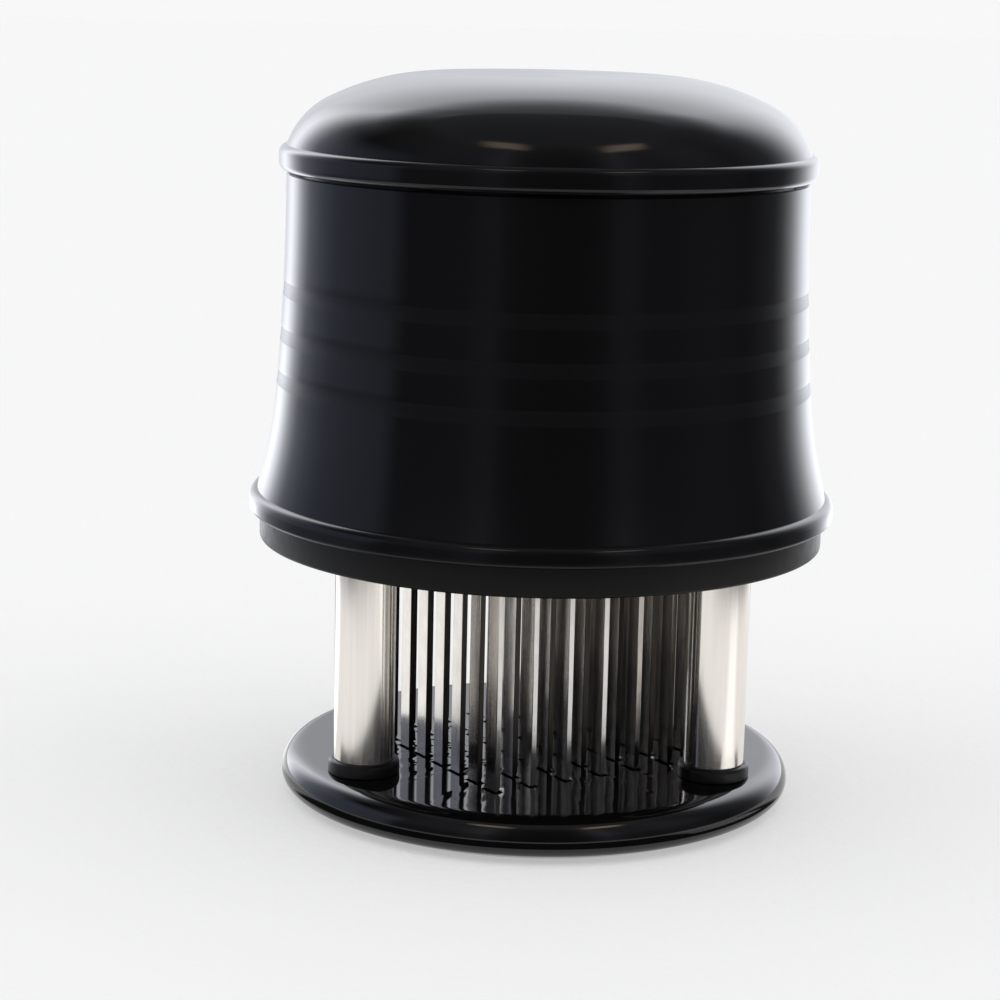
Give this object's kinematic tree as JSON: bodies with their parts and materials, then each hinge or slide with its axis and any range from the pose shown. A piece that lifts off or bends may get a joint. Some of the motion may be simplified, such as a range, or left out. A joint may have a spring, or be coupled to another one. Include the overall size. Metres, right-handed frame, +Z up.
{
  "type": "blade meat tenderizer",
  "caption": "Round press-down meat tenderizer: a bell-shaped, domed head slides on steel posts and pushes rows of flat blades through a slotted round guard plate.",
  "frame": {"origin": "centre of the guard plate's underside, on the table", "axes": "+Z up along the axis of the head; the camera stands on the -Y side; one post is at the back on +Y, the others at -30 and -150 degrees"},
  "size_m": [0.098, 0.098, 0.1214],
  "materials": {
    "black_gloss": "polished black ABS",
    "black_satin": "satin black, hidden inside the head",
    "collar_plastic": "satin black",
    "bush_plastic": "natural acetal, waxy",
    "post_steel": "polished stainless tube",
    "blade_steel": "rolled stainless strip, bright",
    "spring_steel": "drawn spring wire",
    "screw_steel": "plain steel"
  },
  "bodies": {
    "guard": {"guard_plate": "black_gloss", "post_1": "post_steel", "post_2": "post_steel", "post_3": "post_steel", "post_collar_1": "collar_plastic", "post_collar_2": "collar_plastic", "post_collar_3": "collar_plastic", "stop_cap_1": "black_satin", "stop_cap_2": "black_satin", "stop_cap_3": "black_satin", "post_screws": "screw_steel", "stop_screws": "screw_steel"},
    "head": {"skirt_shell": "black_gloss", "dome_cap": "black_gloss", "blade_carrier": "black_satin", "blade_clamp": "black_satin", "blade_comb_1": "blade_steel", "blade_comb_2": "blade_steel", "blade_comb_3": "blade_steel", "blade_comb_4": "blade_steel", "blade_comb_5": "blade_steel", "blade_comb_6": "blade_steel", "blade_comb_7": "blade_steel", "guide_bush_1": "bush_plastic", "guide_bush_2": "bush_plastic", "guide_bush_3": "bush_plastic", "spring_1": "spring_steel", "spring_2": "spring_steel", "spring_3": "spring_steel", "carrier_screws": "screw_steel", "cap_screws": "screw_steel", "clamp_screws": "screw_steel"}
  },
  "joints": [
    {"name": "head_press", "type": "slide", "parent": "guard", "child": "head", "axis": [0, 0, -1], "range_m": [0, 0.035], "stiffness_N_per_m": 1000, "springref_m": -0.015, "deforming": ["spring_1", "spring_2", "spring_3"]}
  ]
}
